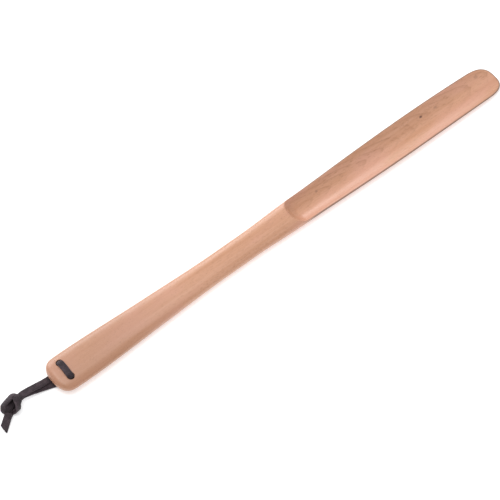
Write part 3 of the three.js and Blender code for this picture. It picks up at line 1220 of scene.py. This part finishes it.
def smooth_points(points: list[Vector], step: float) -> list[Vector]:
    """Follow a centripetal Catmull-Rom curve through points in even steps.

    Args:
        points: Points that the curve passes through.
        step: Wished distance between the new points.

    Returns:
        The new points.
    """
    fine: list[Vector] = []
    padded = [2 * points[0] - points[1], *points, 2 * points[-1] - points[-2]]
    for a, b, c, d in zip(padded, padded[1:], padded[2:], padded[3:]):
        k1 = (b - a).length ** 0.5
        k2 = k1 + (c - b).length ** 0.5
        k3 = k2 + (d - c).length ** 0.5
        for i in range(CURVE_STEPS):
            t = k1 + (k2 - k1) * i / CURVE_STEPS
            ab = a.lerp(b, t / k1)
            bc = b.lerp(c, (t - k1) / (k2 - k1))
            cd = c.lerp(d, (t - k2) / (k3 - k2))
            early, late = ab.lerp(bc, t / k2), bc.lerp(cd, (t - k1) / (k3 - k1))
            fine.append(early.lerp(late, (t - k1) / (k2 - k1)))
    fine.append(points[-1])
    return resampled(fine, step)


def resampled(points: list[Vector], step: float) -> list[Vector]:
    """Walk a line of points in even steps.

    Args:
        points: The line.
        step: Wished distance.

    Returns:
        Evenly spaced points, both ends kept.
    """
    lengths = [0.0]
    for a, b in zip(points, points[1:]):
        lengths.append(lengths[-1] + (b - a).length)
    count = max(2, round(lengths[-1] / step))
    result = []
    i = 0
    for k in range(count + 1):
        target = lengths[-1] * k / count
        while i < len(points) - 2 and lengths[i + 1] < target:
            i += 1
        span = max(lengths[i + 1] - lengths[i], 1e-12)
        result.append(points[i].lerp(points[i + 1], (target - lengths[i]) / span))
    return result


def make_run(marks: list[Mark], hint_is_face: bool, step: float) -> Run:
    """Turn marks into a stretch of lace.

    Args:
        marks: Marks that the middle line passes through.
        hint_is_face: True if the hints are for the face, False if for the width.
        step: Distance between the rings.

    Returns:
        The stretch.
    """
    places = [Vector(mark.place) for mark in marks]
    line = smooth_points(places, step)
    shares = [0.0, *(nearest_share(line, place) for place in places[1:-1]), 1.0]
    run = Run(line, [], [], [], [])
    for i, _ in enumerate(line):
        way = (line[min(i + 1, len(line) - 1)] - line[max(i - 1, 0)]).normalized()
        share = i / (len(line) - 1)
        k = 0
        while k < len(shares) - 2 and share > shares[k + 1]:
            k += 1
        part = (share - shares[k]) / max(shares[k + 1] - shares[k], 1e-9)
        eased = part * part * (3 - 2 * part)
        hint = Vector(marks[k].hint).lerp(Vector(marks[k + 1].hint), eased)
        hint = (hint - way * hint.dot(way)).normalized()
        run.along.append(way)
        run.out.append(hint if hint_is_face else way.cross(hint))
        run.across.append(hint.cross(way) if hint_is_face else hint)
        run.curl.append(marks[k].curl + (marks[k + 1].curl - marks[k].curl) * eased)
    return run


def nearest_share(line: list[Vector], point: Vector) -> float:
    """Where a point lies along a line, as a share of its length."""
    best = min(range(len(line)), key=lambda i: (line[i] - point).length)
    return best / (len(line) - 1)


@dataclass
class LaceStock:
    """The flat lace itself: its section and the tree that draws it along a run."""

    width: float = 0.0068
    thickness: float = 0.0019
    step: float = 0.0005
    flatness: float = 6.0
    edge_fullness: float = 3.2
    end_round: float = 0.0004
    end_share: float = 0.86
    slant_from: float = 0.45
    finish: LeatherFinish = field(default_factory=LeatherFinish)

    def __post_init__(self) -> None:
        """Build the shared tree and finish."""
        self.material = self.finish.build()
        self.maker = self.tree()

    def tree(self) -> SkinTree:
        """Build the tree that wraps a flat section round a run.

        Returns:
            The tree.
        """
        maker = SkinTree("flat_lace")
        spine = maker.entry.outputs["Spine"]
        sides = maker.input("Sides", "NodeSocketInt")
        rings = maker.input("Rings", "NodeSocketInt")
        width, thickness, wavy = maker.sizes("Width", "Thickness", "Waviness")
        number, cosine, sine = maker.ring_place(rings)
        middle, across, out, along = maker.vectors(
            spine, number, "position", "across", "out", "along"
        )
        taper, slant, travelled, curl = maker.numbers(
            spine, number, "taper", "slant", "travelled", "curl"
        )
        wide = cosine.sign() * cosine.size() ** (2.0 / self.flatness)
        thick = sine.sign() * sine.size() ** (2.0 / self.edge_fullness)
        wobble = maker.node("ShaderNodeTexNoise")
        wobble.inputs["Scale"].default_value = 1.0
        wobble.inputs["Detail"].default_value = 2.0
        maker.link(
            joined(maker.tree, travelled * 260.0, wide.sign() * 3.0, thick.sign() * 2.0),
            wobble.inputs["Vector"],
        )
        shake = (Value(maker.tree, wobble.outputs[0]) - 0.5) * wavy
        sideways = wide * (width * 0.5 * taper + shake)
        outward = thick * (thickness * 0.5 * taper + shake * 0.5)
        lengthwise = slant * wide
        radius = 1.0 / curl
        cupped_side = (sideways * curl).apply("SINE") * (radius + outward)
        cupped_out = (sideways * curl).apply("COSINE") * (radius + outward) - radius
        place = [
            middle[i] + across[i] * cupped_side + out[i] * cupped_out + along[i] * lengthwise
            for i in range(3)
        ]
        mesh = maker.tube(sides, rings)
        cut = (wide.size() - 0.88) * 9.0
        mesh = maker.store(mesh, "cut_edge", cut.clamped().socket)
        where = joined(maker.tree, travelled + lengthwise, sideways, outward)
        mesh = maker.store(mesh, "lace_place", where, "FLOAT_VECTOR")
        mesh = maker.placed(mesh, joined(maker.tree, *place))
        maker.close(mesh)
        return maker

    def strip(
        self, name: str, run: Run, start: float = 0.0, end_slant: float = 0.0
    ) -> bpy.types.Object:
        """Draw the lace along a run.

        Args:
            name: Name of the piece.
            run: The stretch to follow.
            start: Length of lace already used before this stretch.
            end_slant: How far one corner of the far end is cut back, for each half width.

        Returns:
            The piece.
        """
        used = [start]
        for a, b in zip(run.points, run.points[1:]):
            used.append(used[-1] + (b - a).length)
        total = used[-1] - start
        ease = [min(u - start, total - (u - start)) / self.end_round for u in used]
        taper = [
            self.end_share + (1 - self.end_share) * math.sqrt(min(max(e, 0.0), 1.0)) for e in ease
        ]
        late = [max((u - start) / total - self.slant_from, 0.0) / (1 - self.slant_from) for u in used]
        slant = [end_slant * min(share, 1.0) ** 2 for share in late]
        spine = spine_mesh(
            f"{name}_line",
            run.points,
            {"taper": taper, "slant": slant, "travelled": used, "curl": run.curl},
            {"across": run.across, "out": run.out, "along": run.along},
        )
        return self.maker.skin(
            name,
            spine,
            {
                "Sides": 36,
                "Rings": len(run.points) - 1,
                "Width": self.width,
                "Thickness": self.thickness,
                "Waviness": 0.00022,
                "Finish": self.material,
            },
        )


@dataclass(frozen=True)
class Tail:
    """One free end of the lace.

    It turns by an angle in degrees from +X as seen from above, and its middle has a height at the
    knot and one at its end.
    """

    name: str
    node: str
    part: Part
    turn: float
    heights: tuple[float, float]


@dataclass
class Lace:
    """The leather lace: bridge, two legs, knot and two tails."""

    stock: LaceStock
    wood: WoodenBody
    thread_low: float = 0.0046
    knot_centre: Triple = (-0.3184, 0.0051, 0.0068)
    knot_fan: float = 0.0011
    mouth_bend: float = 0.0024
    bridge_skew: float = -0.0004
    tail_root: float = 0.0085
    tail_hinge: float = 0.0025
    tail_marks: tuple[tuple[float, float], ...] = (
        (0.0, -0.12),
        (0.003, 0.0),
        (0.0065, 0.25),
        (0.0115, 0.75),
        (0.0165, 1.0),
    )
    tails: tuple[Tail, ...] = (
        Tail("lace_upper_tail", "lace_tail_upper", Part.TAIL_UPPER, 214.5, (0.0054, 0.0036)),
        Tail("lace_lower_tail", "lace_tail_lower", Part.TAIL_LOWER, 216.5, (0.0030, 0.0012)),
    )
    upper_leg: tuple[Triple, ...] = (
        (-0.2592, 0.00875, 0.0012),
        (-0.2652, 0.0077, 0.0013),
        (-0.272, 0.0066, 0.0019),
        (-0.280, 0.0062, 0.0035),
        (-0.289, 0.0064, 0.0056),
        (-0.298, 0.0068, 0.0073),
        (-0.3053, 0.0069, 0.0079),
        (-0.3105, 0.0061, 0.0073),
    )
    lower_leg: tuple[Triple, ...] = (
        (-0.2592, -0.00875, 0.0012),
        (-0.2652, -0.0054, 0.0012),
        (-0.272, -0.0010, 0.0012),
        (-0.280, 0.0018, 0.0015),
        (-0.289, 0.0040, 0.0029),
        (-0.298, 0.0058, 0.0046),
        (-0.3053, 0.0067, 0.0056),
        (-0.3105, 0.0061, 0.0053),
    )
    knot_route: tuple[tuple[Triple, Triple, float], ...] = (
        ((8.5, 1.2, -0.4), (0.0, 0.0, 1.0), 20.0),
        ((4.0, 0.6, -0.6), (0.0, -0.1, 1.0), 20.0),
        ((-1.0, -0.8, -0.6), (0.0, -0.35, 0.9), 40.0),
        ((-6.0, -2.0, -0.2), (-0.2, -0.6, 0.75), 80.0),
        ((-9.2, -0.6, 0.8), (-0.8, -0.2, 0.7), 120.0),
        ((-8.6, 2.4, 2.0), (-0.6, 0.5, 0.8), 120.0),
        ((-4.8, 3.6, 2.9), (-0.1, 0.6, 0.9), 100.0),
        ((0.0, 4.4, 3.6), (0.1, 0.6, 0.9), 80.0),
        ((5.0, 4.9, 4.2), (0.25, 0.5, 0.85), 60.0),
        ((6.6, 1.6, 5.0), (0.2, 0.1, 1.0), 50.0),
        ((5.6, -2.4, 4.6), (0.2, -0.4, 0.9), 50.0),
        ((3.6, -6.0, 2.2), (0.3, -0.9, 0.4), 60.0),
        ((2.4, -7.0, -1.0), (0.2, -1.0, -0.2), 40.0),
        ((0.8, -5.4, -3.8), (0.0, -0.5, -0.85), 20.0),
        ((-2.0, -2.8, -4.4), (0.0, 0.0, -1.0), 1.0),
        ((-6.0, -3.4, -4.0), (0.0, 0.0, -1.0), 1.0),
        ((-9.0, -5.6, -2.8), (0.0, 0.0, -1.0), 1.0),
    )

    def leg_run(self, route: tuple[Triple, ...]) -> Run:
        """Lead a leg from inside its hole, round the mouth and along its route.

        Args:
            route: Points of the route, hole first.

        Returns:
            The leg's run.
        """
        x, y, z = route[0]
        bend = self.mouth_bend
        turned = bend * 0.29
        inside = ((0.0, 0.0052), (0.0, 0.0038), (-0.0001, bend), (-turned, turned), (-bend, 0.0))
        places = [*((x + dx, y, z + dz) for dx, dz in inside), *route[1:]]
        return make_run([Mark(place, (0.0, 1.0, 0.0)) for place in places], False, self.stock.step)

    def build_leg(self, name: str, node: str, route: tuple[Triple, ...]) -> tuple[bpy.types.Object, Run]:
        """Build one leg, which bends where it leaves the wood.

        Args:
            name: Name of the piece.
            node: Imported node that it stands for.
            route: Points of the route.

        Returns:
            The piece and its run.
        """
        run = self.leg_run(route)
        piece = self.stock.strip(name, run, start=0.02)
        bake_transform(piece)
        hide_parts(node)
        return piece, run

    @staticmethod
    def mirrored(mark: Mark, x: float, side: int, skew: float) -> Mark:
        """Move a mark of the bridge's arm to one of the two holes."""
        (px, py, pz), (hx, hy, hz) = mark.place, mark.hint
        return Mark((x + px + skew, py * side, pz), (hx, hy * side, hz), mark.curl)

    def build_bridge(self) -> bpy.types.Object:
        """Build the stretch that the wood holds: up one hole, over the front, down the other.

        Returns:
            The piece.
        """
        wood = self.wood
        half = self.stock.thickness / 2 + 0.0001
        x, y, low = wood.hole_x, wood.hole_y, self.thread_low
        top = wood.front(x, y)
        arm = [
            Mark((0.0, y, low), (0.0, 1.0, 0.0)),
            Mark((0.0, y + 0.0003, low + 0.0019), (0.45, 0.9, 0.0), 60.0),
            Mark((0.0, y + 0.0012, top - 0.0046), (1.0, 0.1, 0.0), 260.0),
            Mark((0.0, y + 0.0020, top - 0.0026), (1.0, 0.0, 0.0), 330.0),
            Mark((0.0, y + 0.0019, top - 0.0010), (1.0, 0.0, 0.0), 330.0),
            Mark((0.0, y + 0.0008, top + 0.0006), (1.0, 0.0, 0.0), 230.0),
            Mark((0.0, y - 0.0014, wood.front(x, y - 0.0014) + half + 0.0003), (1.0, 0.0, 0.0), 70.0),
            Mark((0.0, y - 0.0045, wood.front(x, y - 0.0045) + half + 0.0001), (1.0, 0.0, 0.0), 20.0),
        ]
        marks = [
            *(self.mirrored(mark, x, 1, 0.0) for mark in arm),
            Mark((x, 0.0, wood.front(x, 0.0) + half), (1.0, 0.0, 0.0), 10.0),
            *(self.mirrored(mark, x, -1, self.bridge_skew) for mark in reversed(arm)),
        ]
        run = make_run(marks, False, self.stock.step)
        piece = self.stock.strip("lace_bridge", run)
        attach(piece, Part.WOOD.value)
        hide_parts("lace_thread")
        return piece

    def knot_run(self) -> Run:
        """Lead the doubled lace in from the legs, round the knot and out to the tails.

        Returns:
            The run of the middle between both layers.
        """
        cx, cy, cz = self.knot_centre
        marks = [
            Mark((cx + x / 1000, cy + y / 1000, cz + z / 1000), face, curl)
            for (x, y, z), face, curl in self.knot_route
        ]
        return make_run(marks, True, self.stock.step)

    def build_knot(self) -> bpy.types.Object:
        """Build the overhand knot of the doubled lace.

        Returns:
            The piece.
        """
        run = self.knot_run()
        gap = self.stock.thickness / 2 + 0.00005
        strips = [
            self.stock.strip(
                f"knot_{layer.name.lower()}",
                run.shifted(-layer.value * gap, layer.value * self.knot_fan),
                start=0.08,
            )
            for layer in Layer
        ]
        with bpy.context.temp_override(
            active_object=strips[0], object=strips[0], selected_editable_objects=strips
        ):
            bpy.ops.object.join()
        piece = strips[0]
        piece.name = piece.data.name = "lace_tied_knot"
        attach(piece, Part.LOOP.value)
        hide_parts("lace_knot")
        return piece

    def build_tail(self, tail: Tail) -> bpy.types.Object:
        """Build one tail, which bends where it leaves the knot.

        Args:
            tail: The tail's names and lie.

        Returns:
            The piece.
        """
        way = Vector((math.cos(math.radians(tail.turn)), math.sin(math.radians(tail.turn)), 0.0))
        side = (-way.y, way.x, 0.0)
        root = Vector((self.knot_centre[0], self.knot_centre[1], 0.0)) + way * self.tail_root
        near, far = tail.heights
        marks = []
        for distance, share in self.tail_marks:
            height = near + (far - near) * share
            marks.append(Mark(tuple(root + way * distance + Vector((0.0, 0.0, height))), side))
        run = make_run(marks, False, self.stock.step)
        piece = self.stock.strip(tail.name, run, start=0.19, end_slant=0.0022)
        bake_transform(piece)
        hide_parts(tail.node)
        return piece

    def build(self) -> None:
        """Build every piece of the lace and log the length of its two legs."""
        upper, upper_run = self.build_leg("lace_upper_leg", "lace_leg_upper", self.upper_leg)
        lower, lower_run = self.build_leg("lace_lower_leg", "lace_leg_lower", self.lower_leg)
        knot = self.build_knot()
        tails = [self.build_tail(tail) for tail in self.tails]
        self.build_bridge()
        for piece, run, others in ((upper, upper_run, [knot, *tails]), (lower, lower_run, [])):
            run.length()
            LOG.info("%s is %.1f mm long", piece.name, run.length() * 1000)


# ---------------------------------------------------------------------------------------------
# Studio
# ---------------------------------------------------------------------------------------------


@dataclass
class Studio:
    """Camera, floor and lights."""

    back: Triple = (-0.3140, -0.3891, 0.8660)
    up: Triple = (0.5439, 0.6739, 0.5)
    aim: Triple = (-0.0375, -0.0006, -0.0031)
    distance: float = 3.0
    lens: float = 224.4
    floor_reach: float = 30.0
    floor: FloorFinish = field(default_factory=FloorFinish)

    def build_camera(self) -> None:
        """Place the camera."""
        back, up = Vector(self.back).normalized(), Vector(self.up).normalized()
        right = up.cross(back).normalized()
        up = back.cross(right)
        turn = Matrix((right, up, back)).transposed().to_4x4()
        data = bpy.data.cameras.new("camera")
        data.lens = self.lens
        data.clip_end = 100.0
        camera = add_object("camera", data)
        camera.matrix_world = Matrix.Translation(Vector(self.aim) + back * self.distance) @ turn
        bpy.context.scene.camera = camera

    def build_floor(self) -> None:
        """Lay a wide pale floor under the shoehorn."""
        mesh = bpy.data.meshes.new("floor")
        reach = self.floor_reach
        turns = ((-1, -1), (1, -1), (1, 1), (-1, 1))
        corners = [(reach * x, reach * y, 0.0) for x, y in turns]
        mesh.from_pydata(corners, [], [(0, 1, 2, 3)])
        mesh.materials.append(self.floor.build())
        floor = add_object("floor", mesh)
        floor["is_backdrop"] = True

    def add_light(
        self,
        name: str,
        place: Triple,
        sides: tuple[float, float],
        power: float,
        tint: Triple,
    ) -> None:
        """Hang a soft light that points at the shoehorn.

        Args:
            name: Name of the light.
            place: Where it hangs.
            sides: Its width and its height.
            power: Power in watts.
            tint: Its colour.
        """
        data = bpy.data.lights.new(name, "AREA")
        data.shape = "RECTANGLE"
        data.size, data.size_y = sides
        data.energy = power
        data.color = tint
        light = add_object(name, data)
        light.location = place
        light.rotation_mode = "QUATERNION"
        light.rotation_quaternion = Vector(place).to_track_quat("Z", "Y")
        light.visible_camera = False

    def build_lights(self) -> None:
        """Hang the low strip light, the overhead fill and an even pale surround."""
        self.add_light("strip", (0.10, 1.50, 0.72), (1.5, 0.75), 12.5, (1.0, 0.985, 0.975))
        self.add_light("overhead", (-0.35, 0.35, 1.80), (1.4, 1.4), 15.0, (1.0, 0.99, 0.98))
        world = bpy.data.worlds.new("surround")
        world.use_nodes = True
        surround = world.node_tree.nodes["Background"]
        surround.inputs["Color"].default_value = (0.98, 0.985, 1.0, 1.0)
        surround.inputs["Strength"].default_value = 0.63
        bpy.context.scene.world = world
        bpy.context.scene.view_settings.view_transform = "Standard"

    def build(self) -> None:
        """Set the studio up."""
        self.build_camera()
        self.build_floor()
        self.build_lights()


def main() -> None:
    """Build the shoehorn in order."""
    logging.basicConfig(level=logging.INFO, format="%(name)s: %(message)s")
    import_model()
    Studio().build()
    wood = WoodenBody()
    Lace(LaceStock(), wood).build()
    body = wood.build()
    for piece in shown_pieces():
        LOG.info("%s: %d faces", piece.name, len(piece.data.polygons))
    LOG.info("%s carved", body.name)


if __name__ == "__main__":
    main()
